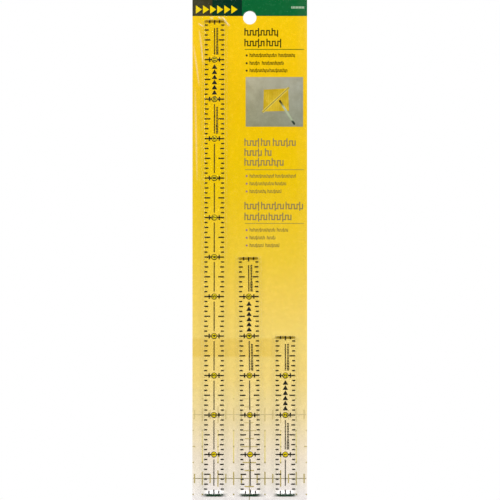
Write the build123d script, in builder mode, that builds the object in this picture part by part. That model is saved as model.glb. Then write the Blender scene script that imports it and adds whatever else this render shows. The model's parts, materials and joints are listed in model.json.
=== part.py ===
"""Carded set of three clear marking rulers, 12, 6 and 4 inches long and half an inch wide.

The set hangs on a shop peg: +Z is up, the printed front faces -Y, and the origin is the centre of
the hang hole on the card's back face. Lengths are in millimetres.

Each ruler is a strip of clear acrylic with its scale printed on the back. The rulers stand on a
printed paperboard card, and a thin clear film is drawn down over them and bonded to the card, so
that each ruler has a close pocket of its own. Each pocket is slit open along the ruler's lower end,
and the ruler slides out there.
"""

from build123d import *
import os
from math import cos, radians, sin

# ---------------------------------------------------------------- driving dimensions

INCH = 25.4

card_width = 73.8
card_height = 322.9
card_thickness = 0.6
hole_radius = 4.3
hole_below_top = 11.95
header_height = 10.85

ink = 0.02  # thickness of every printed layer

ruler_width = INCH / 2
ruler_thickness = 2.4
edge_break = 0.1
ruler_above_card_bottom = 4.6
# name, whole inches, x of the middle of the lower end, lean of the upper end to the left in degrees
rulers = [
    ("ruler_12_inch", 12, -23.1, -0.09),
    ("ruler_6_inch", 6, 0.45, 0.46),
    ("ruler_4_inch", 4, 22.9, 0.0),
]

film_thickness = 0.12
film_left = -36.6
film_right = 35.9
pocket_clearance = 0.1
side_spread = 1.5  # how far a pocket's side wall leans out between its top and its foot
end_spread = 2.0
mouth_opening = 0.5  # how far the slit runs on past a ruler's zero end

# ---------------------------------------------------------------- derived values

card_top = hole_below_top
card_bottom = card_top - card_height
card_middle = (card_top + card_bottom) / 2
header_bottom = card_top - header_height
header_middle = (card_top + header_bottom) / 2
zero_end = card_bottom + ruler_above_card_bottom

# depths count from the card's back face towards the front
printed_layers = 4
layer = [card_thickness + ink * step for step in range(printed_layers + 1)]
film_depth = layer[printed_layers] + ink
film_front = film_depth + film_thickness
disc_depth = film_front + pocket_clearance
scale_depth = disc_depth + ink
blade_depth = scale_depth + ink
blade_front = blade_depth + ruler_thickness
pocket_front = blade_front + pocket_clearance

os.makedirs("parts", exist_ok=True)


def save(piece, name):
    """Labels a finished piece and writes it as its own STEP file."""
    piece.part.label = name
    export_step(piece.part, f"parts/{name}.step")


def front(depth):
    """The plane of the card's front at a depth: its x is +X, its y is +Z, and it faces -Y."""
    return Plane.XZ.offset(depth)


def along(ruler, depth):
    """A ruler's own plane at a depth: its origin is the middle of the zero end, and its y runs up
    the ruler towards the last inch."""
    lean = radians(ruler[3])
    return Plane(origin=(ruler[2], -depth, zero_end), x_dir=(cos(lean), 0, sin(lean)), z_dir=(0, -1, 0))


# ---------------------------------------------------------------- card and its ground colour


def full_sheet(depth, thickness, left, right, name):
    """A sheet as tall as the card, with the hang hole through it."""
    with BuildPart() as sheet:
        with BuildSketch(front(depth)):
            with Locations(((left + right) / 2, card_middle)):
                Rectangle(right - left, card_height)
            Circle(hole_radius, mode=Mode.SUBTRACT)
        extrude(amount=thickness)
    save(sheet, name)


full_sheet(0, card_thickness, -card_width / 2, card_width / 2, "backing_card")
full_sheet(layer[0], ink, -card_width / 2, card_width / 2, "ground_print")

# ---------------------------------------------------------------- header band

olive_right = -24.1
dark_right = -4.95


def header_panel(left, right, name):
    """One flat panel of the header band, cut away where the hang hole reaches it."""
    with BuildPart() as panel:
        with BuildSketch(front(layer[1])):
            with Locations(((left + right) / 2, header_middle)):
                Rectangle(right - left, header_height)
            Circle(hole_radius, mode=Mode.SUBTRACT)
        extrude(amount=ink)
    save(panel, name)


header_panel(-card_width / 2, olive_right, "header_olive_print")
header_panel(olive_right, dark_right, "header_dark_print")
header_panel(dark_right, card_width / 2, "header_green_print")


def goose(length, height):
    """One triangle of a flying geese quilt strip, pointing along +X, on its own."""
    with BuildSketch(mode=Mode.PRIVATE) as one:
        with BuildLine():
            Polyline((-length / 2, -height / 2), (length / 2, 0), (-length / 2, height / 2), close=True)
        make_face()
    return one.sketch


ornament_left = -35.0
ornament_right = -7.6
ornament_middle = 5.3
ornament_height = 5.4
ornament_count = 6
ornament_pitch = (ornament_right - ornament_left) / ornament_count
ornament_share = 0.86  # of the pitch that a triangle fills

with BuildPart() as header_ornament:
    with BuildSketch(front(layer[2])):
        with Locations(((ornament_left + ornament_right) / 2, ornament_middle)):
            with GridLocations(ornament_pitch, 1, ornament_count, 1):
                add(goose(ornament_pitch * ornament_share, ornament_height))
    extrude(amount=ink)
save(header_ornament, "header_ornament_print")

code_middle = (30.9, 6.6)
code_bars = 9
code_pitch = 0.95
code_bar_width, code_bar_height = 0.52, 1.4

with BuildPart() as item_code:
    with BuildSketch(front(layer[2])):
        with Locations(code_middle):
            with GridLocations(code_pitch, 1, code_bars, 1):
                Rectangle(code_bar_width, code_bar_height)
    extrude(amount=ink)
save(item_code, "item_code_print")

# ---------------------------------------------------------------- dummy text, rules and bullets

# which strokes of a word stand tall or hang low, how far their extra piece's middle is set from the
# row, and that piece's length, the last two as shares of a small letter's height
tall_every = 5
tall_offset, tall_length = 0.15, 0.4
low_every, low_first = 7, 5
low_offset, low_length = 0.1, 0.3


def dummy_words(words, x_height, pitch, stroke, name):
    """Words as rows of upright strokes joined by turns along the top and the foot, which hold the
    place of text and say nothing. words lists the start, the end and the base line of each."""
    stems, tall, low, joints = [], [], [], []
    for start, end, base in words:
        count = round((end - start) / pitch)
        for step in range(count + 1):
            x = start + step * pitch
            stems.append((x, base + x_height / 2))
            if step % tall_every == 0:
                tall.append((x, base + x_height * (1 + tall_offset)))
            if step % low_every == low_first:
                low.append((x, base - x_height * low_offset))
            if step < count:
                edge = x_height - stroke / 2 if step % 2 == 0 else stroke / 2
                joints.append((x + pitch / 2, base + edge))
    with BuildPart() as text:
        with BuildSketch(front(layer[1])):
            with Locations(*stems):
                Rectangle(stroke, x_height)
            with Locations(*tall):
                Rectangle(stroke, x_height * tall_length)
            with Locations(*joints):
                Rectangle(pitch, stroke)
            if low:
                with Locations(*low):
                    Rectangle(stroke, x_height * low_length)
        extrude(amount=ink)
    save(text, name)


title_style = (3.6, 1.75, 0.76)  # height of a small letter, pitch and width of the strokes
feature_style = (1.75, 0.85, 0.4)

text_left = -3.1
feature_left = 0.1

dummy_words(
    [(text_left, 17.6, -11.5), (text_left, 9.1, -18.4), (11.1, 20.2, -18.4)],
    *title_style,
    "title_text_print",
)
dummy_words(
    [
        (feature_left, 1.4, -25.2),
        (2.6, 17.4, -25.2),
        (18.7, 29.2, -25.2),
        (feature_left, 6.2, -30.2),
        (8.0, 21.6, -30.2),
        (feature_left, 11.6, -35.0),
        (12.9, 24.0, -35.0),
    ],
    *feature_style,
    "feature_text_print",
)
dummy_words(
    [
        (text_left, 5.8, -82.5),
        (7.5, 13.2, -82.5),
        (15.2, 29.6, -82.5),
        (text_left, 8.2, -88.9),
        (10.1, 14.1, -88.9),
        (text_left, 22.0, -95.2),
        (text_left, 5.8, -123.3),
        (7.6, 21.3, -123.3),
        (23.4, 33.7, -123.3),
        (text_left, 10.6, -130.3),
        (12.5, 25.8, -130.3),
    ],
    *title_style,
    "grey_title_text_print",
)
dummy_words(
    [
        (feature_left, 1.4, -102.9),
        (2.6, 15.3, -102.9),
        (16.7, 29.1, -102.9),
        (feature_left, 15.1, -107.8),
        (16.4, 23.4, -107.8),
        (feature_left, 10.2, -112.8),
        (11.6, 20.2, -112.8),
        (feature_left, 1.4, -137.6),
        (2.6, 16.0, -137.6),
        (17.6, 24.5, -137.6),
        (feature_left, 9.8, -142.6),
        (11.2, 16.4, -142.6),
        (feature_left, 9.0, -147.6),
        (10.3, 18.7, -147.6),
    ],
    *feature_style,
    "grey_feature_text_print",
)

rule_left = -3.2
rule_right = 34.85
rule_width = 0.5


def rules(heights, name):
    """Thin lines across the text column."""
    with BuildPart() as lines:
        with BuildSketch(front(layer[1])):
            with Locations(*[((rule_left + rule_right) / 2, z) for z in heights]):
                Rectangle(rule_right - rule_left, rule_width)
        extrude(amount=ink)
    save(lines, name)


def bullets(heights, name):
    """Round dots at the left of the feature lines."""
    with BuildPart() as dots:
        with BuildSketch(front(layer[1])):
            with Locations(*[(bullet_x, z) for z in heights]):
                Circle(bullet_radius)
        extrude(amount=ink)
    save(dots, name)


bullet_x = -2.0
bullet_radius = 0.68

rules([-20.4], "title_rule_print")
rules([-97.8, -132.4], "grey_rule_print")
bullets([-24.3, -29.3, -34.1], "feature_bullet_print")
bullets([-101.9, -106.8, -111.8, -136.7, -141.6, -146.6], "grey_bullet_print")

# ---------------------------------------------------------------- inset picture

picture_left, picture_right = -2.6, 34.3
picture_top, picture_bottom = -38.2, -70.1
cloth_low_left, cloth_high_right = (8.6, -60.4), (24.8, -45.4)
cloth_high_left, cloth_low_right = (9.0, -46.3), (25.3, -60.0)
pencil_tip, pencil_end = (19.4, -53.6), (28.6, -68.3)
picture_ruler_width = 1.5
pencil_width = 1.3

with BuildPart() as picture_ground:
    with BuildSketch(front(layer[1])):
        with Locations(((picture_left + picture_right) / 2, (picture_top + picture_bottom) / 2)):
            Rectangle(picture_right - picture_left, picture_top - picture_bottom)
    extrude(amount=ink)
save(picture_ground, "picture_ground_print")

with BuildPart() as picture_cloth:
    with BuildSketch(front(layer[2])):
        with BuildLine():
            Polyline(cloth_low_left, cloth_low_right, cloth_high_right, cloth_high_left, close=True)
        make_face()
    extrude(amount=ink)
save(picture_cloth, "picture_cloth_print")


def stripe(start, end, width, name):
    """A straight printed stripe with round ends, on top of the picture."""
    middle = (Vector(start) + Vector(end)) / 2
    with BuildPart() as drawn:
        with BuildSketch(front(layer[3])):
            SlotCenterPoint(middle, end, width)
        extrude(amount=ink)
    save(drawn, name)


stripe(cloth_low_left, cloth_high_right, picture_ruler_width, "picture_ruler_print")
stripe(pencil_tip, pencil_end, pencil_width, "picture_pencil_print")

# ---------------------------------------------------------------- faint enlarged ruler grid

# one inch of the enlarged grid, across and up
grid_across, grid_up = 40.3, 41.1
grid_centre = -0.3
grid_rows = (-296.5, -255.4)
grid_line = 0.55
grid_tick = 0.8
grid_dash = 0.75
grid_dot = 1.0
grid_side_margin = 0.5
# half lengths of the ticks on the half inches, the quarters and the eighths
half_tick, quarter_tick, eighth_tick = 5.3, 4.3, 3.0


def tick_length(step):
    """The full length of the grid's tick that stands a number of eighths from a whole inch."""
    if step % 4 == 0:
        return 2 * half_tick
    return 2 * quarter_tick if step % 2 == 0 else 2 * eighth_tick


centre_run_top = grid_rows[1] + grid_up / 2

with BuildPart() as grid_lines:
    with BuildSketch(front(layer[1])):
        with Locations(*[(0, row) for row in grid_rows]):
            Rectangle(card_width - 2 * grid_side_margin, grid_line)
        with Locations((grid_centre, (card_bottom + centre_run_top) / 2)):
            Rectangle(grid_line, centre_run_top - card_bottom)
    extrude(amount=ink)
save(grid_lines, "grid_line_print")

with BuildPart() as grid_ticks:
    with BuildSketch(front(layer[2])):
        for row in grid_rows:
            for step in range(-7, 8):
                if step != 0:
                    with Locations((grid_centre + step * grid_across / 8, row)):
                        Rectangle(grid_tick, tick_length(step))
        for step in range(-2, 13):
            if step not in (0, 8):
                with Locations((grid_centre, grid_rows[0] + step * grid_up / 8)):
                    Rectangle(tick_length(step), grid_tick)
        # the longer ticks of the next inch lines, which stand beyond the card's sides, reach in
        for step in (-2, 2, 4, 6):
            reach = grid_across - tick_length(step) / 2
            with Locations(*[(side * (reach + card_width / 2) / 2, grid_rows[0] + step * grid_up / 8)
                             for side in (-1, 1)]):
                Rectangle(card_width / 2 - reach, grid_tick)
    extrude(amount=ink)
save(grid_ticks, "grid_tick_print")

grid_columns = [grid_centre + step * grid_across / 4 for step in (-3, -2, -1, 1, 2, 3)]
dash_middles = [row + grid_up / 2 for row in grid_rows]

with BuildPart() as grid_dashes:
    with BuildSketch(front(layer[1])):
        with Locations(*[(x, z) for x in grid_columns for z in dash_middles]):
            Rectangle(grid_dash, grid_up / 2)
    extrude(amount=ink)
save(grid_dashes, "grid_dash_print")

with BuildPart() as grid_dots:
    with BuildSketch(front(layer[2])):
        for z in dash_middles + [grid_rows[0] - grid_up / 2]:
            for step in (-1, 0, 1):
                if z + step * grid_up / 4 > card_bottom + grid_dot:
                    with Locations(*[(x, z + step * grid_up / 4) for x in grid_columns]):
                        Rectangle(grid_dot, grid_dot)
    extrude(amount=ink)
save(grid_dots, "grid_dot_print")

# ---------------------------------------------------------------- rulers

# lengths of the marks
eighth_mark, quarter_mark, half_mark = 1.87, 2.44, 3.6
mark_width = 0.7
centre_line_width = 0.52
centre_line_gap = 3.25  # from an inch's disc to the end of the centre line
end_gap = 5.2
end_side_mark, end_middle_mark = 1.9, 2.65
cross_offset = INCH / 8
cross_height = 2.9
disc_radius = 1.88
disc_outline = 0.36
numeral_height = 1.9
numeral_stroke = 0.5
two_digit_share = 0.8  # two digits are set smaller by this share
digit_width = 0.6  # of a digit's height
digit_pitch = 1.45  # of a digit's width
edge_margin = 0.12
small_print_x = 1.7
small_print_rows = 17
small_print_tall_rows = 6
small_print_pitch = 1.02
small_print_start = 0.4
small_print_tall, small_print_low = 1.45, 1.05
small_print_stroke = 0.6
maker_count = 6
maker_pitch = 3.3
maker_width = 3.3
maker_share = 0.84  # of the pitch that a triangle fills


def mark_length(step):
    """The length of an edge mark that stands a number of eighths from a whole inch."""
    if step % 4 == 0:
        return half_mark
    return quarter_mark if step % 2 == 0 else eighth_mark


# the pen strokes of each digit, on a field 0.6 wide and 1 high
digit_strokes = {
    "0": ((0.0, 0.3), (0.0, 0.7), (0.3, 1.0), (0.6, 0.7), (0.6, 0.3), (0.3, 0.0), (0.0, 0.3)),
    "1": ((0.1, 0.8), (0.35, 1.0), (0.35, 0.0)),
    "2": ((0.0, 0.75), (0.3, 1.0), (0.6, 0.75), (0.0, 0.0), (0.6, 0.0)),
    "3": ((0.0, 1.0), (0.6, 1.0), (0.25, 0.6), (0.6, 0.3), (0.3, 0.0), (0.0, 0.15)),
    "4": ((0.45, 0.0), (0.45, 1.0), (0.0, 0.3), (0.62, 0.3)),
    "5": ((0.55, 1.0), (0.08, 1.0), (0.03, 0.55), (0.35, 0.62), (0.6, 0.32), (0.3, 0.0), (0.0, 0.12)),
    "6": ((0.5, 1.0), (0.12, 0.6), (0.0, 0.3), (0.3, 0.0), (0.6, 0.3), (0.3, 0.58), (0.04, 0.4)),
    "7": ((0.0, 1.0), (0.6, 1.0), (0.2, 0.0)),
    "8": ((0.3, 0.55), (0.05, 0.78), (0.3, 1.0), (0.55, 0.78), (0.3, 0.55), (0.0, 0.28), (0.3, 0.0),
          (0.6, 0.28), (0.3, 0.55)),
    "9": ((0.1, 0.0), (0.48, 0.4), (0.6, 0.7), (0.3, 1.0), (0.0, 0.7), (0.3, 0.42), (0.56, 0.6)),
}


def number(value):
    """In the current sketch, a whole number round the origin, turned to be read with the ruler laid
    flat, its zero end at the left. Two digits are set smaller."""
    digits = str(value)
    height = numeral_height if len(digits) == 1 else numeral_height * two_digit_share
    width = digit_width * height
    for place, digit in enumerate(digits):
        shift = (place - (len(digits) - 1) / 2) * width * digit_pitch - width / 2
        # the digit's own x runs up the ruler and its top points left
        pen = [((0.5 - y) * height, shift + x * height) for x, y in digit_strokes[digit]]
        for start, end in zip(pen, pen[1:]):
            SlotCenterPoint((Vector(start) + Vector(end)) / 2, end, numeral_stroke)


def edge_marks(inches):
    """In the current sketch, the marks along both long edges, at every eighth that isn't a whole inch."""
    for kind in (1, 2, 4):
        length = mark_length(kind)
        reach = ruler_width / 2 - edge_margin - length / 2
        steps = [step for step in range(1, inches * 8) if step % 8 and mark_length(step) == length]
        with Locations(*[(side * reach, step * INCH / 8) for step in steps for side in (-1, 1)]):
            Rectangle(length, mark_width)


def inch_bars(inches):
    """In the current sketch, each whole inch's bar from both edges to its disc, with its crosses."""
    length = ruler_width / 2 - edge_margin - disc_radius
    reach = disc_radius + length / 2
    with Locations(*[(side * reach, inch * INCH) for inch in range(1, inches) for side in (-1, 1)]):
        Rectangle(length, mark_width)
    with Locations(*[(side * cross_offset, inch * INCH) for inch in range(1, inches) for side in (-1, 1)]):
        Rectangle(mark_width, cross_height)


def end_marks(inches):
    """In the current sketch, the three marks across the width at each end."""
    for end, inward in ((edge_margin, 1), (inches * INCH - edge_margin, -1)):
        for side in (-1, 0, 1):
            length = end_middle_mark if side == 0 else end_side_mark
            with Locations((side * cross_offset, end + inward * length / 2)):
                Rectangle(mark_width, length)


def centre_line(inches, skipped):
    """In the current sketch, the broken line along the middle. The maker's mark takes one inch of it."""
    for inch in range(inches):
        low = end_gap if inch == 0 else inch * INCH + centre_line_gap
        high = (inch + 1) * INCH - (end_gap if inch == inches - 1 else centre_line_gap)
        if inch != skipped:
            with Locations((0, (low + high) / 2)):
                Rectangle(centre_line_width, high - low)


def small_print(inches, inches_with_text):
    """In the current sketch, rows of short strokes that hold the place of the small text."""
    for inch in inches_with_text:
        low = inch * INCH + (centre_line_gap if inch else end_gap) + small_print_start
        for step in range(small_print_rows):
            height = small_print_tall if step < small_print_tall_rows else small_print_low
            with Locations((small_print_x, low + step * small_print_pitch)):
                Rectangle(height, small_print_stroke)


for ruler in rulers:
    name, inches = ruler[0], ruler[1]
    length = inches * INCH
    mark_inch = inches - 2

    with BuildPart() as blade:
        with BuildSketch(along(ruler, blade_depth)):
            with Locations((0, length / 2)):
                Rectangle(ruler_width, length)
        extrude(amount=ruler_thickness)
        chamfer(blade.edges(), edge_break)
    save(blade, name + "_blade")

    with BuildPart() as scale_print:
        with BuildSketch(along(ruler, scale_depth)):
            edge_marks(inches)
            inch_bars(inches)
            end_marks(inches)
            centre_line(inches, mark_inch)
        extrude(amount=ink)
    save(scale_print, name + "_scale_print")

    with BuildPart() as small_text:
        with BuildSketch(along(ruler, scale_depth)):
            small_print(inches, (inches - 1, inches - 3))
        extrude(amount=ink)
    save(small_text, name + "_small_print")

    with BuildPart() as makers_mark:
        with BuildSketch(along(ruler, scale_depth)):
            with Locations((0, (mark_inch + 0.5) * INCH)):
                with GridLocations(1, maker_pitch, 1, maker_count):
                    add(goose(maker_pitch * maker_share, maker_width), rotation=90)
        extrude(amount=ink)
    save(makers_mark, name + "_maker_ornament_print")

    with BuildPart() as numerals:
        with BuildSketch(along(ruler, scale_depth)):
            with Locations(*[(0, inch * INCH) for inch in range(1, inches)]):
                Circle(disc_radius)
                Circle(disc_radius - disc_outline, mode=Mode.SUBTRACT)
        extrude(amount=ink)
        for inch in range(1, inches):
            with BuildSketch(along(ruler, scale_depth)):
                with Locations((0, inch * INCH)):
                    number(inch)
            extrude(amount=ink)
    save(numerals, name + "_numeral_print")

    with BuildPart() as discs:
        with BuildSketch(along(ruler, disc_depth)):
            with Locations(*[(0, inch * INCH) for inch in range(1, inches)]):
                Circle(disc_radius)
        extrude(amount=ink)
    save(discs, name + "_disc_print")

# ---------------------------------------------------------------- film

film_middle = (film_left + film_right) / 2


def pocket(ruler, inset, opening):
    """The two sections of one pocket, each as its depth, half width, lower end and upper end, drawn in
    by inset from the film's outer face. The lower end is square, and runs on by opening."""
    crown_side = ruler_width / 2 + pocket_clearance + film_thickness - inset
    crown_end = ruler[1] * INCH + pocket_clearance + film_thickness - inset
    return (
        (film_depth, crown_side + side_spread, -opening, crown_end + end_spread),
        (pocket_front + film_thickness - inset, crown_side, -opening, crown_end),
    )


with BuildPart() as skin_film:
    with BuildSketch(front(film_depth)):
        with Locations((film_middle, card_middle)):
            Rectangle(film_right - film_left, card_height)
        Circle(hole_radius, mode=Mode.SUBTRACT)
    extrude(amount=film_thickness)
    for inset, opening, mode in ((0, 0, Mode.ADD), (film_thickness, mouth_opening, Mode.SUBTRACT)):
        for ruler in rulers:
            for depth, side, low, high in pocket(ruler, inset, opening):
                with BuildSketch(along(ruler, depth)):
                    with Locations((0, (low + high) / 2)):
                        Rectangle(2 * side, high - low)
            loft(mode=mode)
save(skin_film, "skin_film")
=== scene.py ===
"""The carded set of three clear rulers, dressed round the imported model: printed card, clear blades,
drawn-down film, studio light and camera. Everything is in metres, in the model's own frame."""

import json
import math

import bmesh
import bpy
import numpy as np
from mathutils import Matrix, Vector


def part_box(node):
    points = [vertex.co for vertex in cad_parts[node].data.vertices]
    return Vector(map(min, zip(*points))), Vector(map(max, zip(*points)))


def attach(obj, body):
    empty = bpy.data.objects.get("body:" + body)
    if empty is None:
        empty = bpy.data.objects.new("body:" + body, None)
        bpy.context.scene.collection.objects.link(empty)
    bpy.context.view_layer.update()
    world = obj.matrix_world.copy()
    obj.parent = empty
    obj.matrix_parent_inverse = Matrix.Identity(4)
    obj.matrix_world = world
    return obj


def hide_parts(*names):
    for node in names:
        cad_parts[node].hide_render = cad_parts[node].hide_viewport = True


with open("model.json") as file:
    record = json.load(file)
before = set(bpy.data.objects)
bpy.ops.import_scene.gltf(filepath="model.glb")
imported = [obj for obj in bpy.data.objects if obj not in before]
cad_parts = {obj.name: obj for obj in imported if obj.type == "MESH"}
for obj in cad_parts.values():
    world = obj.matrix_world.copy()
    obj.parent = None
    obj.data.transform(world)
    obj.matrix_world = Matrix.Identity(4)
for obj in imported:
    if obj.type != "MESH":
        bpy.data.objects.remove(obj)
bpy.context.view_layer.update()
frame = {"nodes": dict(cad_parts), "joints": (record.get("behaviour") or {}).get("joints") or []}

MM = 0.001
nodes = frame["nodes"]
card_low, card_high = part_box("backing_card")

# How strongly a white card is lit in this scene: the colours below are the colours wanted on the
# lit card, and each is divided by it to give the colour of the ink itself.
CARD_LIGHT = 1.12
AMBIENT = 0.05  # the room's light on what faces the lamp
BACK_FILL = 0.85  # the room's light on what faces away from the lamp
KEY_ENERGY = 357.0  # watts
BRIGHTEST_INK = 0.95
NOISE_LOW, NOISE_HIGH = 0.3, 0.7  # nearly all of a noise texture's values lie between these
ACRYLIC_IOR = 1.49
FILM_IOR = 1.5


def linear(value):
    """One channel of an 8-bit display colour as linear light."""
    value /= 255
    return value / 12.92 if value <= 0.04045 else ((value + 0.055) / 1.055) ** 2.4


def ink(red, green, blue):
    """The ink colour that shows as this 8-bit colour on the lit card."""
    return (*[min(linear(value) / CARD_LIGHT, BRIGHTEST_INK) for value in (red, green, blue)], 1.0)


# ---------------------------------------------------------------- node shorthand


class Nodes:
    """A node tree being built, with short calls that add its nodes and link them."""

    def __init__(self, owner, place):
        owner.use_nodes = True
        self.tree = owner.node_tree
        self.tree.nodes.clear()
        self.place = self.coordinates(place)

    def node(self, kind, inputs=None, **settings):
        made = self.tree.nodes.new(kind)
        for key, value in settings.items():
            setattr(made, key, value)
        for key, value in (inputs or {}).items():
            self.feed(made.inputs[key], value)
        return made

    def feed(self, socket, value):
        if isinstance(value, bpy.types.NodeSocket):
            self.tree.links.new(value, socket)
        else:
            socket.default_value = value

    def coordinates(self, kind):
        return self.node("ShaderNodeTexCoord").outputs[kind]

    def noise(self, scale, detail=2.0, stretch=None):
        """Noise from 0 to 1 with about scale features to the metre."""
        place = self.place
        if stretch:
            place = self.node("ShaderNodeMapping", {"Vector": place, "Scale": stretch}).outputs[0]
        found = {"Vector": place, "Scale": scale, "Detail": detail}
        return self.node("ShaderNodeTexNoise", found).outputs["Fac"]

    def span(self, value, low, high, to_low=0.0, to_high=1.0, smooth=False):
        """value carried from one range to another, and held inside it."""
        sockets = {
            "Value": value,
            "From Min": low,
            "From Max": high,
            "To Min": to_low,
            "To Max": to_high,
        }
        kind = "SMOOTHSTEP" if smooth else "LINEAR"
        return self.node("ShaderNodeMapRange", sockets, interpolation_type=kind).outputs[0]

    def sway(self, noise, to_low=0.0, to_high=1.0):
        """A noise's usual range carried to another one."""
        return self.span(noise, NOISE_LOW, NOISE_HIGH, to_low, to_high)

    def math(self, operation, first, second=0.5):
        return self.node("ShaderNodeMath", {0: first, 1: second}, operation=operation).outputs[0]

    def blend(self, factor, first, second):
        """Two colours mixed."""
        sockets = {0: factor, 6: first, 7: second}
        return self.node("ShaderNodeMix", sockets, data_type="RGBA").outputs[2]

    def between(self, factor, first, second):
        """Two shaders mixed."""
        return self.node("ShaderNodeMixShader", {0: factor, 1: first, 2: second}).outputs[0]

    def product(self, first, *others):
        for other in others:
            first = self.math("MULTIPLY", first, other)
        return first

    def rays(self, kind):
        """1 on rays of a kind, and 0 on the others."""
        return self.node("ShaderNodeLightPath").outputs[kind]

    def scattered(self):
        """1 on rays that a dull surface has thrown on, and 0 on the others."""
        return self.math("GREATER_THAN", self.rays("Diffuse Depth"), 0.5)

    def ramp(self, value, stops):
        """A colour ramp with (position, colour) stops."""
        made = self.node("ShaderNodeValToRGB", {"Fac": value})
        elements = made.color_ramp.elements
        while len(elements) < len(stops):
            elements.new(0.5)
        for element, (position, colour) in zip(elements, stops):
            element.position = position
            element.color = colour
        return made.outputs["Color"]

    def axis(self, name, source=None):
        """One coordinate of source, or without one, of the place."""
        return self.node("ShaderNodeSeparateXYZ", {0: source or self.place}).outputs[name]

    def bump(self, height, distance, strength=1.0):
        sockets = {"Height": height, "Distance": distance, "Strength": strength}
        return self.node("ShaderNodeBump", sockets).outputs[0]

    def principled(self, **sockets):
        """A Principled shader; a socket's name is written with _ for each space."""
        named = {name.replace("_", " "): value for name, value in sockets.items()}
        return self.node("ShaderNodeBsdfPrincipled", named).outputs[0]


class Paint(Nodes):
    """A material being built, whose place is the place on the object, in metres."""

    def __init__(self, name):
        self.material = bpy.data.materials.new(name)
        super().__init__(self.material, "Object")

    def finish(self, surface):
        self.node("ShaderNodeOutputMaterial", {"Surface": surface})
        return self.material


# ---------------------------------------------------------------- card and inks

# height in millimetres and colour of the printed ground, from the card's foot to its hang hole
GROUND = (
    (-309, (247, 242, 241)),
    (-296, (247, 238, 222)),
    (-283, (246, 233, 211)),
    (-270, (246, 230, 192)),
    (-257, (245, 225, 169)),
    (-245, (246, 224, 155)),
    (-232, (247, 220, 134)),
    (-206, (247, 219, 120)),
    (-180, (246, 213, 95)),
    (-155, (242, 208, 67)),
    (-129, (241, 204, 48)),
    (-103, (239, 202, 28)),
    (-77, (242, 201, 2)),
    (-52, (240, 197, 2)),
    (-26, (246, 202, 2)),
    (0, (245, 203, 6)),
)
# where the faint deeper band comes and goes, in millimetres
BAND_FOOT = (-219.5, -217.0)
BAND_TOP = (-205.0, -207.5)
BAND_SIDE = (25.0, 10.0)
# the heights between which the grid's colours fade into the ground, in millimetres
GRID_FADE = (-300, -215)


def ground_colour(paint):
    """Yellow that fades to cream towards the foot, with a faint deeper band at the left."""
    low, high = card_low.z / MM, card_high.z / MM
    height = paint.axis("Z")
    share = paint.span(height, card_low.z, card_high.z)
    fade = paint.ramp(share, [((z - low) / (high - low), ink(*colour)) for z, colour in GROUND])
    foot = paint.span(height, *[edge * MM for edge in BAND_FOOT], smooth=True)
    top = paint.span(height, *[edge * MM for edge in BAND_TOP], smooth=True)
    leftwards = paint.span(paint.axis("X"), *[edge * MM for edge in BAND_SIDE], smooth=True)
    return paint.blend(paint.product(foot, top, leftwards), fade, ink(240, 208, 104))


def printed(name, colour, mottle=0.05, gloss=(0.20, 0.30)):
    """A coated print: ink that lies a little unevenly over the board's faint grain."""
    same_hue = 0.5
    hue_share = 0.05  # of the mottle
    screen_share = 0.35  # of the fibre's height
    relief = 0.008 * MM
    paint = Paint(name)
    cloud = paint.noise(420, 3)
    fibre = paint.noise(2600, 3, stretch=(1.0, 1.0, 0.55))
    cells = {"Vector": paint.place, "Scale": 5200.0}
    screen = paint.node("ShaderNodeTexVoronoi", cells).outputs["Distance"]
    turn = hue_share * mottle
    toned = paint.node(
        "ShaderNodeHueSaturation",
        {
            "Color": colour(paint) if callable(colour) else colour,
            "Hue": paint.sway(paint.noise(260, 2), same_hue - turn, same_hue + turn),
            "Saturation": paint.sway(fibre, 1.0 + mottle, 1.0),
            "Value": paint.sway(cloud, 1.0 - mottle, 1.0 + mottle),
        },
    ).outputs[0]
    height = paint.math("ADD", fibre, paint.math("MULTIPLY", screen, screen_share))
    return paint.finish(
        paint.principled(
            Base_Color=toned,
            Roughness=paint.sway(cloud, *gloss),
            Specular_IOR_Level=0.12,
            Normal=paint.bump(height, relief, 0.6),
        )
    )


def fading(*colour):
    """A printed colour that fades into the ground towards the top of the grid."""
    low, high = GRID_FADE

    def found(paint):
        share = paint.span(paint.axis("Z"), low * MM, high * MM, 1.0, 0.0, smooth=True)
        return paint.blend(share, ground_colour(paint), ink(*colour))

    return found


def picture_ground(paint):
    """A soft out-of-focus table top, warmer at the upper left and cooler at the right."""
    low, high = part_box("picture_ground_print")
    across = paint.span(paint.axis("X"), low.x, high.x)
    up = paint.span(paint.axis("Z"), low.z, high.z)
    warm = paint.blend(up, ink(150, 150, 122), ink(190, 184, 158))
    cool = paint.blend(up, ink(146, 150, 132), ink(172, 172, 158))
    sides = paint.blend(across, warm, cool)
    darker = paint.span(paint.noise(95, 2), 0.35, 0.75, 0.0, 0.35)
    return paint.blend(darker, sides, ink(120, 116, 84))


def picture_cloth(paint):
    """Yellow patchwork cloth, with a darker fold of its own weave."""
    bands = {"Vector": paint.place, "Scale": 300.0, "Distortion": 3.0}
    weave = paint.node("ShaderNodeTexWave", bands)
    light = paint.blend(weave.outputs["Fac"], ink(205, 172, 45), ink(228, 198, 72))
    return paint.blend(paint.span(paint.noise(160, 2), 0.4, 0.7), light, ink(190, 160, 40))


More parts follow.
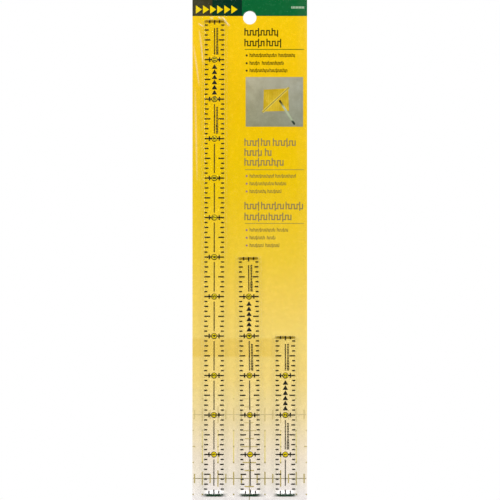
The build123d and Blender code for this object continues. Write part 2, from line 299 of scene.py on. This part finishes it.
def picture_ruler(paint):
    """Clear ruler over the cloth: nearly the cloth's colour, with a dark line along its middle."""
    line_core, line_edge = 0.12 * MM, 0.3 * MM
    low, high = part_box("picture_ruler_print")
    run = (high - low).normalized()
    middle = (low + high) / 2
    across = paint.math(
        "SUBTRACT",
        paint.math("MULTIPLY", paint.math("SUBTRACT", paint.axis("X"), middle.x), run.z),
        paint.math("MULTIPLY", paint.math("SUBTRACT", paint.axis("Z"), middle.z), run.x),
    )
    off_line = paint.span(paint.math("ABSOLUTE", across), line_core, line_edge)
    return paint.blend(off_line, ink(120, 108, 62), ink(226, 204, 96))


def picture_pencil(paint):
    """Pale pencil with a dark point and a dark end cap."""
    low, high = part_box("picture_pencil_print")
    along = paint.span(paint.axis("Z"), low.z, high.z)
    stops = [
        (0.0, ink(40, 52, 42)),
        (0.14, ink(52, 66, 54)),
        (0.2, ink(168, 180, 150)),
        (0.72, ink(190, 198, 168)),
        (0.8, ink(150, 150, 96)),
        (0.9, ink(60, 56, 30)),
        (1.0, ink(40, 38, 22)),
    ]
    return paint.ramp(along, stops)


def paperboard():
    """Grey-white carton board with short fibres and a few darker specks."""
    paint = Paint("paperboard_uncoated")
    fibre = paint.noise(900, 5, stretch=(1.0, 1.0, 0.3))
    cloud = paint.noise(60, 3)
    speck = paint.span(paint.noise(1500, 1), 0.70, 0.76, 0.0, 0.5)
    board = paint.blend(paint.sway(fibre), ink(196, 191, 179), ink(216, 212, 202))
    board = paint.blend(paint.sway(cloud, 0.0, 0.4), board, ink(206, 200, 184))
    board = paint.blend(speck, board, ink(138, 126, 104))
    relief = 0.03 * MM
    return paint.finish(
        paint.principled(
            Base_Color=board,
            Roughness=paint.sway(fibre, 0.78, 0.92),
            Specular_IOR_Level=0.25,
            Normal=paint.bump(fibre, relief, 0.7),
        )
    )


PRINTS = {
    "ground_print": printed("ground_colour_print", ground_colour, 0.03),
    "header_olive_print": printed("olive_print", ink(60, 58, 36), 0.10),
    "header_dark_print": printed("dark_green_print", ink(0, 50, 32), 0.10),
    "header_green_print": printed("green_print", ink(0, 101, 50), 0.05),
    "header_ornament_print": printed("yellow_print", ink(244, 214, 30), 0.06),
    "item_code_print": printed("pale_print", ink(196, 216, 190), 0.06),
    "title_text_print": printed("dark_text_print", ink(62, 58, 6), 0.12),
    "feature_text_print": printed("dark_text_fine_print", ink(48, 44, 4), 0.12),
    "grey_title_text_print": printed("grey_text_print", ink(150, 132, 84), 0.06),
    "grey_feature_text_print": printed("grey_feature_print", ink(140, 122, 62), 0.06),
    "title_rule_print": printed("rule_green_print", ink(112, 122, 18), 0.08),
    "grey_rule_print": printed("rule_grey_print", ink(176, 156, 70), 0.06),
    "feature_bullet_print": printed("bullet_dark_print", ink(62, 52, 26), 0.08),
    "grey_bullet_print": printed("bullet_violet_print", ink(160, 126, 130), 0.06),
    "picture_ground_print": printed("picture_ground_ink", picture_ground, 0.04),
    "picture_cloth_print": printed("picture_cloth_ink", picture_cloth, 0.05),
    "picture_ruler_print": printed("picture_ruler_ink", picture_ruler, 0.06),
    "picture_pencil_print": printed("picture_pencil_ink", picture_pencil, 0.05),
    "grid_line_print": printed("grid_grey_print", fading(160, 150, 118), 0.06),
    "grid_tick_print": printed("grid_tick_print", fading(188, 171, 108), 0.06),
    "grid_dash_print": printed("grid_dash_print", fading(234, 216, 128), 0.05),
    "grid_dot_print": printed("grid_dot_print", fading(172, 158, 92), 0.05),
}
for name, material in PRINTS.items():
    nodes[name].material_slots[0].material = material
nodes["backing_card"].material_slots[0].material = paperboard()

# ---------------------------------------------------------------- rulers

RULERS = ("ruler_12_inch", "ruler_6_inch", "ruler_4_inch")
RULER_WIDTH = 12.7 * MM
zero_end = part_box("ruler_4_inch_blade")[0].z

# How much of the lamp's light each face of a blade passes on, red, green and blue. A ray passes two
# faces. These are set to look right under this lamp, and aren't acrylic's own figures: a real clear
# face passes about 0.96, and never more than it gets.
THROUGH_FACES = (1.075, 1.068, 1.085, 1.0)
THROUGH_SHADED = (1.035, 1.028, 1.05, 1.0)
THROUGH_SIDES = (0.75, 0.76, 0.68, 1.0)
THROUGH_GATHERED = (1.7, 1.75, 1.85, 1.0)
THROUGH_LOWER_END = (0.0, 0.045, 0.015, 1.0)
THROUGH_UPPER_END = (0.32, 0.28, 0.06, 1.0)
# Where those parts come and go: as shares of the blade's height and, from its middle, its width,
SHADED_SHARE = (0.86, 0.94)
GATHERED_SIDE = (0.44, 0.36)
# and in millimetres above the zero end.
GATHERED_FOOT = (1.75, 1.95)
GATHERED_TOP = (4.3, 4.0)
LOW_RIM = (0.3, 0.6)
UPPER_END = (20, 40)
FRONT_FACE_DEPTH = 2.0 * MM  # a blade's front face is further from the card's back than this
CUT_TURN = (0.6, 0.8)  # how far a blade's surface turns from its clear faces to its cut ones


def above_zero(edges):
    return [zero_end + edge * MM for edge in edges]


def cut_faces(paint):
    """1 on a blade's sawn ends, and 1 on its long edges."""
    facing = paint.coordinates("Normal")
    end = paint.span(paint.math("ABSOLUTE", paint.axis("Z", facing)), *CUT_TURN)
    side = paint.span(paint.math("ABSOLUTE", paint.axis("X", facing)), *CUT_TURN)
    return end, side


def blade_surface(paint, end, side):
    """Clear faces, half-polished long edges and frosted ends."""
    haze = paint.noise(55, 3)
    scratch = paint.noise(900, 2, stretch=(1.0, 1.0, 0.04))
    scratch_relief, saw_relief = 0.0008 * MM, 0.02 * MM
    clear = paint.principled(
        Base_Color=(0.995, 1.0, 0.995, 1.0),
        Roughness=paint.sway(haze, 0.0, 0.02),
        IOR=ACRYLIC_IOR,
        Transmission_Weight=1.0,
        Normal=paint.bump(scratch, scratch_relief, 0.5),
    )
    frosted = paint.principled(
        Base_Color=(0.80, 0.86, 0.80, 1.0),
        Roughness=paint.sway(paint.noise(2400, 3), 0.25, 0.5),
        IOR=ACRYLIC_IOR,
        Transmission_Weight=0.8,
        Normal=paint.bump(paint.noise(3000, 2), saw_relief, 0.6),
    )
    # the long edges are only half polished, and catch some light
    pale = paint.blend(haze, (0.86, 0.92, 0.86, 1.0), (0.93, 0.96, 0.92, 1.0))
    satin = paint.node("ShaderNodeBsdfDiffuse", {"Color": pale}).outputs[0]
    catching = paint.product(side, paint.sway(paint.noise(700, 2), 0.25, 0.45))
    return paint.between(catching, paint.between(end, clear, frosted), satin)


def lamp_light(paint, end, side):
    """How much of the lamp's light each part of a blade passes on, as set for this lamp."""
    share = paint.coordinates("Generated")
    height = paint.axis("Z")
    # each ruler's upper part is a little darker, perhaps because the film is tighter there
    shaded = paint.span(paint.axis("Z", share), *SHADED_SHARE)
    through = paint.blend(shaded, THROUGH_FACES, THROUGH_SHADED)
    through = paint.blend(side, through, THROUGH_SIDES)
    # the lower end gathers light: the lamp's light comes down at a slant, and what enters the front
    # face here lands just above the end
    from_below = paint.span(height, *above_zero(GATHERED_FOOT))
    from_above = paint.span(height, *above_zero(GATHERED_TOP))
    front_face = paint.math("LESS_THAN", paint.axis("Y"), -FRONT_FACE_DEPTH)
    off_middle = paint.math("ABSOLUTE", paint.math("SUBTRACT", paint.axis("X", share), 0.5))
    inside = paint.span(off_middle, *GATHERED_SIDE)
    gathered = paint.product(from_below, from_above, front_face, inside)
    through = paint.blend(gathered, through, THROUGH_GATHERED)
    # the sawn ends and the rim of the lower one hold it back
    rim = paint.span(height, *above_zero(LOW_RIM), 1.0, 0.0)
    upper = paint.span(height, *above_zero(UPPER_END))
    held_back = paint.blend(upper, THROUGH_LOWER_END, THROUGH_UPPER_END)
    through = paint.blend(paint.math("MAXIMUM", end, rim), through, held_back)
    return paint.node("ShaderNodeBsdfTransparent", {"Color": through}).outputs[0]


def acrylic():
    """Clear cast acrylic. Rays to the lamp, and rays that a dull surface has thrown on, pass it
    straight, by lamp_light's amounts; the others meet its real surface."""
    paint = Paint("clear_acrylic_blade")
    end, side = cut_faces(paint)
    surface = blade_surface(paint, end, side)
    straight = paint.math("MAXIMUM", paint.rays("Is Shadow Ray"), paint.scattered())
    return paint.finish(paint.between(straight, surface, lamp_light(paint, end, side)))


blade_material = acrylic()
black = printed("black_scale_ink", (0.012, 0.012, 0.008, 1.0), 0.2, (0.35, 0.55))
fine_black = printed("black_fine_ink", (0.035, 0.032, 0.014, 1.0), 0.25, (0.4, 0.6))
disc_yellow = printed("disc_yellow_ink", ink(224, 200, 2), 0.06, (0.3, 0.45))
for ruler in RULERS:
    nodes[ruler + "_blade"].material_slots[0].material = blade_material
    nodes[ruler + "_scale_print"].material_slots[0].material = black
    nodes[ruler + "_numeral_print"].material_slots[0].material = black
    nodes[ruler + "_maker_ornament_print"].material_slots[0].material = black
    nodes[ruler + "_small_print"].material_slots[0].material = fine_black
    nodes[ruler + "_disc_print"].material_slots[0].material = disc_yellow

# ---------------------------------------------------------------- film


class Pocket:
    """Where one ruler lies: the middle of its zero end, its direction up, and its length."""

    def __init__(self, name):
        low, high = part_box(name + "_blade")
        slide = next(joint for joint in frame["joints"] if joint["child"] == name)
        self.up = -np.array([slide["axis"][0], slide["axis"][2]], float)
        self.up /= np.linalg.norm(self.up)
        self.right = np.array([self.up[1], -self.up[0]])
        # a leaning ruler's box is higher than its length alone makes it
        self.length = (high.z - low.z - RULER_WIDTH * abs(self.up[0])) / self.up[1]
        middle = np.array([(low.x + high.x) / 2, (low.z + high.z) / 2])
        self.foot = middle - self.up * self.length / 2

    def middle_at(self, z):
        return self.foot[0] + (z - self.foot[1]) * self.up[0] / self.up[1]

    def local(self, x, z):
        """Across and up the ruler from the middle of its zero end."""
        dx, dz = x - self.foot[0], z - self.foot[1]
        return dx * self.right[0] + dz * self.right[1], dx * self.up[0] + dz * self.up[1]


pockets = [Pocket(name) for name in RULERS]
film_low, film_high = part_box("skin_film")
HOLE_RADIUS = 4.3 * MM
FILM_GAUGE = 0.10 * MM
FLAT_FACE = 0.82 * MM  # how far off the card's back the film's face lies, between the rulers
CROWN_FACE = -film_low.y - 0.02 * MM  # and over them
CROWN_MARGIN = 0.15 * MM  # how far the crown runs on past a ruler's edges
SIDE_WEB = 2.6 * MM  # how far out the film comes down beside a ruler
END_WEB = 2.9 * MM  # and beyond its upper end
WEB_POWER = 2.4  # how steeply it leaves the ruler
SHOULDER = 0.05  # how round it turns there, as a share of the web
CUT_EDGE_AREA = 3e-7  # square metres: a face of the film's cut edge is smaller
CUT_EDGE_TURN = 0.02  # and turns to the front by less than this

# How much pale white the film mixes in: a faint milky cloud all over, more towards the card's long
# edges, and most along its creases, where the white is a painted highlight.
CLOUD_MILK = 0.0012
MARGIN_PALENESS = 0.003
CREASE_SHEEN = 0.30
MARGINS = ((-29.0, -32.0), (29.0, 33.0))  # in millimetres from the card's middle
FULL_SHEEN_HEIGHT = 0.3  # millimetres: a crease as high as this is marked in full, and gets the whole painted highlight
TINY = 1e-9  # metres
SLIT_OPENS = 1e-6  # metres: the slit's two lips part where the film is lifted by more

# Fine creases in the film, in millimetres: the points that each follows in x and z, its height and
# its half width.
CREASES = (
    (((-33.2, -3.6), (-31.6, -4.7), (-29.6, -5.9)), 0.20, 0.30),
    (((-25.6, 0.2), (-24.6, -0.2), (-23.6, -0.8)), 0.20, 0.30),
    (((-20.3, 0.3), (-19.4, -0.1), (-18.5, -0.6)), 0.30, 0.28),
    (((-18.1, 0.5), (-16.6, -0.6), (-15.4, -2.6), (-14.4, -3.9), (-12.9, -5.4)), 0.34, 0.36),
    (((-32.6, -7.9), (-31.2, -18.0), (-29.9, -30.4)), 0.16, 0.34),
    (((-36.2, -17.6), (-34.4, -30.0), (-32.6, -43.3)), 0.16, 0.34),
    (((-35.2, -45.0), (-34.6, -72.0), (-33.9, -105.0)), 0.10, 0.45),
    (((-36.0, -304.0), (-33.8, -307.0), (-31.0, -308.6)), 0.14, 0.5),
    (((-15.6, -304.5), (-14.0, -307.6), (-9.5, -308.8)), 0.14, 0.5),
    (((9.0, -306.0), (11.4, -308.4), (15.0, -308.0)), 0.12, 0.5),
)


def web_height(x, z):
    """How far the film is lifted over and beside the rulers, as a share of its lift over them."""
    share = np.zeros_like(x)
    for pocket in pockets:
        across, up = pocket.local(x, z)
        beside = np.maximum(np.abs(across) - RULER_WIDTH / 2 - CROWN_MARGIN, 0) / SIDE_WEB
        beyond = np.maximum(up - pocket.length - CROWN_MARGIN, 0) / END_WEB
        away = np.sqrt(beside**2 + beyond**2)
        away = np.sqrt(away**2 + SHOULDER**2) - SHOULDER
        share = np.maximum(share, np.clip(1 - away, 0, 1) ** WEB_POWER)
    return share


def crease_height(x, z):
    """The creases' height, and a share from 0 to 1 along them that keeps their gloss and paints a
    highlight on them.
    """
    far = 1.0  # metres, further than any crease
    ends = 0.001  # keeps the taper's sine just off zero
    taper_power = 0.6
    height = np.zeros_like(x)
    crease_sheen = np.zeros_like(x)
    for points, tall, half_width in CREASES:
        points = np.array(points) * MM
        lengths = np.linalg.norm(np.diff(points, axis=0), axis=1)
        starts = np.concatenate([[0], np.cumsum(lengths)])
        nearest = np.full_like(x, far)
        place = np.zeros_like(x)
        for step, (start, end) in enumerate(zip(points, points[1:])):
            run = end - start
            share = ((x - start[0]) * run[0] + (z - start[1]) * run[1]) / (run @ run)
            share = np.clip(share, 0, 1)
            gap = np.hypot(x - start[0] - share * run[0], z - start[1] - share * run[1])
            closer = gap < nearest
            nearest = np.where(closer, gap, nearest)
            place = np.where(closer, (starts[step] + share * lengths[step]) / starts[-1], place)
        taper = np.sin(np.pi * np.clip(place, ends, 1 - ends)) ** taper_power
        shape = np.exp(-((nearest / (half_width * MM)) ** 2)) * taper
        height = np.maximum(height, tall * MM * shape)
        # the creases' share, which keeps their gloss and paints a highlight on them
        crease_sheen = np.maximum(crease_sheen, shape * min(tall / FULL_SHEEN_HEIGHT, 1.0))
    return height, crease_sheen


def spread(start, end, step):
    """Evenly spaced values from start up to, and without, end."""
    return list(np.linspace(start, end, max(1, round((end - start) / step)), endpoint=False))


def film_rows():
    """Heights of the mesh's rows: close together near the rulers' ends, and one on the zero end."""
    foot_step, zero_step, plain_step, end_step, header_step = 0.4, 0.5, 2.0, 0.35, 0.6
    zero_zone, below_top, beyond_top, below_header = [share * MM for share in (3, 9, 3.4, 3.0)]
    marks = [(film_low.z, foot_step), (zero_end, zero_step), (zero_end + zero_zone, plain_step)]
    for pocket in sorted(pockets, key=lambda found: found.length):
        top = pocket.foot[1] + pocket.length
        marks += [(top - below_top, end_step), (top + beyond_top, plain_step)]
    # the last top is the longest ruler's: the header is above it
    marks[-1] = (top + below_header, header_step)
    rows = []
    for (start, step), (end, _) in zip(marks, marks[1:] + [(film_high.z, 0)]):
        rows += spread(start, end, step * MM)
    return np.array(rows + [film_high.z])


def film_columns(z):
    """Where the mesh's columns cross height z. They follow the rulers, and crowd at their edges."""
    reach = 10.2 * MM  # how far from a ruler's middle its own columns run
    edge = RULER_WIDTH / 2
    steep = edge + 1.0 * MM  # the web is steep up to here
    beside = 0.1 * MM  # how far the nearest columns lie from a ruler's edge
    face_step, steep_step, web_step, left_step, gap_step = [
        step * MM for step in (0.42, 0.1, 0.3, 0.3, 0.55)
    ]
    right_columns = 8
    inner = spread(-edge + beside, edge - beside, face_step) + [edge - beside]
    wall = spread(edge + beside, steep, steep_step) + spread(steep, reach, web_step)
    offsets = sorted([-value for value in wall] + inner + wall)
    columns = []
    last = film_low.x
    step = left_step
    for pocket in pockets:
        middle = pocket.middle_at(z)
        columns += spread(last, middle - reach, step)
        columns += [middle + offset for offset in [-reach] + offsets]
        last = middle + reach
        step = gap_step
    return columns + list(np.linspace(last, film_high.x, right_columns))


def film_depths(x, z, rows, slit):
    """How far off the card's back the film's face lies, its lift off the flat, and its crease share
    for gloss and painted highlight.
    """
    pocket_margin, below_end = 0.4 * MM, 0.1 * MM
    web_fade = 1.6
    web = web_height(x, z)
    ridge, crease_sheen = crease_height(x, z)
    under = np.zeros_like(x, bool)
    for pocket in pockets:
        across, up = pocket.local(x, z)
        under |= (np.abs(across) < RULER_WIDTH / 2 + pocket_margin) & (up < below_end)
    ridge = np.where(under, 0, ridge) * np.clip(1 - web * web_fade, 0, 1)
    lift = (CROWN_FACE - FLAT_FACE) * web
    depth = FLAT_FACE + np.where(z >= rows[slit] - TINY, lift, 0) + ridge
    return depth, lift, crease_sheen


def film_mesh():
    """One open sheet over the whole card, slit along each ruler's zero end, with the hang hole."""
    rows = film_rows()
    counted = min(len(film_columns(z)) for z in rows)
    x = np.array([film_columns(z)[:counted] for z in rows])
    x[:, -1] = film_high.x
    z = np.repeat(rows[:, None], counted, axis=1)
    slit = int(np.argmin(np.abs(rows - zero_end)))
    depth, lift, crease_sheen = film_depths(x, z, rows, slit)
    vertices = [(px, -off, pz) for px, off, pz in zip(x.ravel(), depth.ravel(), z.ravel())]
    whitened = list(crease_sheen.ravel())
    # the slit's lower lip has vertices of its own, flat on the card
    index = np.arange(x.size).reshape(x.shape)
    lower = index.copy()
    for column in range(counted):
        if lift[slit, column] > SLIT_OPENS:
            lower[slit, column] = len(vertices)
            vertices.append((x[slit, column], -FLAT_FACE, z[slit, column]))
            whitened.append(0.0)
    # the patch round the hang hole is left out here, and laid in rings
    patch = 6.6 * MM
    first, last = [int(np.argmin(np.abs(rows - value))) for value in (-patch, patch)]
    middle_row = x[(first + last) // 2]
    left, right = [int(np.argmin(np.abs(middle_row - value))) for value in (-patch, patch)]
    faces = []
    for row in range(len(rows) - 1):
        bottom = index[row]
        top = lower[row + 1] if row + 1 == slit else index[row + 1]
        for column in range(counted - 1):
            if first <= row < last and left <= column < right:
                continue
            faces.append((bottom[column], bottom[column + 1], top[column + 1], top[column]))
    loop = [index[first, column] for column in range(left, right)]
    loop += [index[row, right] for row in range(first, last)]
    loop += [index[last, column] for column in range(right, left, -1)]
    loop += [index[row, left] for row in range(last, first, -1)]
    ring = loop
    for share in (0.25, 0.5, 0.75, 1.0):
        outer, ring = ring, []
        for vertex in loop:
            px, py, pz = vertices[vertex]
            turn = math.atan2(pz, px)
            rim_x, rim_z = HOLE_RADIUS * math.cos(turn), HOLE_RADIUS * math.sin(turn)
            ring.append(len(vertices))
            vertices.append((px + share * (rim_x - px), py, pz + share * (rim_z - pz)))
            whitened.append(0.0)
        for step in range(len(loop)):
            ahead = (step + 1) % len(loop)
            faces.append((outer[step], outer[ahead], ring[ahead], ring[step]))
    return vertices, faces, whitened


def film_material():
    """Thin clear film: clear face on, glossy where it turns, and whitened along its creases as a
    painted highlight.
    """
    paint = Paint("clear_film_skin")
    # the creases' share: it keeps their gloss, and the white mixed in along them is a painted
    # highlight
    crease_sheen = paint.node("ShaderNodeAttribute", attribute_name="crease_sheen").outputs["Fac"]
    ripple = paint.noise(130, 3, stretch=(1.0, 1.0, 0.4))
    clear_tint = {"Color": (0.995, 0.995, 0.993, 1.0)}
    clear = paint.node("ShaderNodeBsdfTransparent", clear_tint).outputs[0]
    ripple_relief = 0.06 * MM
    normal = paint.bump(ripple, ripple_relief, 0.35)
    shiny = {
        "Color": (1.0, 1.0, 1.0, 1.0),
        "Roughness": paint.sway(ripple, 0.09, 0.18),
        "Normal": normal,
    }
    gloss = paint.node("ShaderNodeBsdfGlossy", shiny).outputs[0]
    fresnel = paint.node("ShaderNodeFresnel", {"IOR": FILM_IOR, "Normal": normal}).outputs[0]
    inner = paint.node("ShaderNodeNewGeometry").outputs["Backfacing"]
    outside = paint.math("SUBTRACT", 1.0, inner)
    # the film's cut edge stays dull, and so does the web over a ruler's upper end, where the film
    # turns upwards and isn't creased: it is taken to be drawn tight there
    tight_shine = 0.12
    facing = paint.coordinates("Normal")
    face = paint.span(paint.math("ABSOLUTE", paint.axis("Y", facing)), 0.05, 0.15)
    loose = paint.span(paint.axis("Z", facing), 0.08, 0.22, 1.0, tight_shine)
    loose = paint.math("MAXIMUM", loose, paint.span(crease_sheen, 0.02, 0.15))
    skin = paint.between(paint.product(fresnel, outside, face, loose), clear, gloss)
    # pale white mixed into the film: faint milky clouds, paler card edges, and a painted highlight
    # along the creases
    pale = {"Color": (0.95, 0.93, 0.88, 1.0), "Roughness": 0.4}
    milk_and_sheen = paint.node("ShaderNodeBsdfDiffuse", pale).outputs[0]
    cloud = paint.span(paint.noise(38, 2), 0.35, 0.7, 0.0, CLOUD_MILK)
    # the film is paler towards the card's long edges
    margins = [
        paint.span(paint.axis("X"), near * MM, far * MM, 0.0, MARGIN_PALENESS, smooth=True)
        for near, far in MARGINS
    ]
    milk_and_sheen_share = paint.math("ADD", cloud, paint.math("ADD", *margins))
    # painted highlight: the creases are whitened as though they caught the lamp
    milk_and_sheen_share = paint.math("ADD", milk_and_sheen_share, paint.math("MULTIPLY", crease_sheen, CREASE_SHEEN))
    return paint.finish(paint.between(milk_and_sheen_share, skin, milk_and_sheen))


def build_film():
    vertices, faces, whitened = film_mesh()
    vertices = [tuple(float(value) for value in vertex) for vertex in vertices]
    mesh = bpy.data.meshes.new("drawn_film")
    mesh.from_pydata(vertices, [], faces)
    # the creases' share, from which the film's material paints a highlight along them
    crease_sheen = mesh.attributes.new("crease_sheen", "FLOAT", "POINT")
    crease_sheen.data.foreach_set("value", np.array(whitened, np.float32))
    film = bpy.data.objects.new("drawn_film", mesh)
    bpy.context.scene.collection.objects.link(film)
    cleaner = bmesh.new()
    cleaner.from_mesh(mesh)
    loose = [vertex for vertex in cleaner.verts if not vertex.link_faces]
    bmesh.ops.delete(cleaner, geom=loose, context="VERTS")
    cleaner.to_mesh(mesh)
    cleaner.free()
    for polygon in mesh.polygons:
        polygon.use_smooth = True
    skin = film.modifiers.new("gauge", "SOLIDIFY")
    skin.thickness = FILM_GAUGE
    skin.offset = -1.0
    with bpy.context.temp_override(object=film, active_object=film):
        bpy.ops.object.modifier_apply(modifier=skin.name)
    for polygon in mesh.polygons:
        # the cut edges of the film are flat, so that they don't round off its face
        turned = abs(polygon.normal.y) > CUT_EDGE_TURN
        polygon.use_smooth = turned or polygon.area > CUT_EDGE_AREA
    mesh.materials.append(film_material())
    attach(film, "pack")
    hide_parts("skin_film")


build_film()

# ---------------------------------------------------------------- floor, light and camera


def build_floor():
    """A plain pale floor, below the longest ruler at the end of its slide."""
    level = -0.66
    half = 2.2
    blotches = 3  # to the metre
    mesh = bpy.data.meshes.new("studio_floor")
    outline = ((-half, -half), (half, -half), (half, half), (-half, half))
    mesh.from_pydata([(x, y, level) for x, y in outline], [], [(0, 1, 2, 3)])
    floor = bpy.data.objects.new("studio_floor", mesh)
    bpy.context.scene.collection.objects.link(floor)
    paint = Paint("studio_floor_pale")
    tone = paint.blend(paint.noise(blotches, 3), (0.80, 0.80, 0.79, 1.0), (0.86, 0.86, 0.85, 1.0))
    pale = paint.principled(Base_Color=tone, Roughness=0.8)
    # the floor throws no light up at the card, so the bands below the rulers' ends stay dark
    unlit = paint.node("ShaderNodeBsdfDiffuse", {"Color": (0.0, 0.0, 0.0, 1.0)}).outputs[0]
    mesh.materials.append(paint.finish(paint.between(paint.scattered(), pale, unlit)))


def build_world():
    """A white room for the camera and for what is seen through the rulers. Dull surfaces get a
    dimmer one, lit more from behind the card, and reflections find a dim recess in front of it."""
    world = bpy.data.worlds.new("studio")
    bpy.context.scene.world = world
    room = 1.0
    recess_middle, recess_edge = 0.0, 0.25
    air = Nodes(world, "Generated")
    heading = air.axis("Y")
    # recess and fill are added to the room's white, and are below zero
    recess = air.span(heading, -0.97, -0.6, recess_middle - room, recess_edge - room)
    in_front = air.span(heading, -0.3, -0.05, 1.0, 0.0)
    glossy = air.product(air.rays("Is Glossy Ray"), recess, in_front)
    fill = air.span(heading, -0.1, 0.5, AMBIENT - room, BACK_FILL - room)
    dull = air.product(air.scattered(), fill)
    strength = air.math("ADD", air.math("ADD", glossy, dull), room)
    white = {"Color": (1.0, 1.0, 1.0, 1.0), "Strength": strength}
    background = air.node("ShaderNodeBackground", white).outputs[0]
    air.node("ShaderNodeOutputWorld", {"Surface": background})


def aim(thing, target):
    """Points a lamp or camera at target, with world up as its own up."""
    direction = target - thing.location
    thing.rotation_euler = direction.to_track_quat("-Z", "Y").to_euler()


def build_light():
    """One strip lamp above and in front, far wider than it is high, so that it draws crisp bands
    below the sawn ends and none beside the long edges."""
    reach = 4.0
    rise = math.radians(34)
    middle = (card_low + card_high) / 2
    lamp = bpy.data.lights.new("strip_lamp", "AREA")
    lamp.shape = "RECTANGLE"
    lamp.size = 9.0
    lamp.size_y = 0.35
    lamp.energy = KEY_ENERGY
    lamp.color = (1.0, 0.995, 0.98)
    strip = bpy.data.objects.new("strip_lamp", lamp)
    bpy.context.scene.collection.objects.link(strip)
    forward, up = reach * math.cos(rise), reach * math.sin(rise)
    strip.location = (middle.x, middle.y - forward, middle.z + up)
    aim(strip, middle)


def build_camera():
    """Square on to the card, far off through a long lens. The card fills the frame's height, and
    runs on a hair beyond it at both ends."""
    lens, sensor = 200.0, 36.0
    frame_height = 321.8 * MM
    right_of_hole = 0.15 * MM
    camera = bpy.data.cameras.new("camera")
    camera.lens = lens
    camera.sensor_width = sensor
    camera.clip_start = 0.05
    camera.clip_end = 50.0
    holder = bpy.data.objects.new("camera", camera)
    bpy.context.scene.collection.objects.link(holder)
    distance = frame_height * lens / sensor
    middle = (card_low.z + card_high.z) / 2
    holder.location = (right_of_hole, card_low.y - distance, middle)
    holder.rotation_euler = (math.pi / 2, 0.0, 0.0)
    bpy.context.scene.camera = holder


build_floor()
build_world()
build_light()
build_camera()
bpy.context.scene.view_settings.view_transform = "Standard"
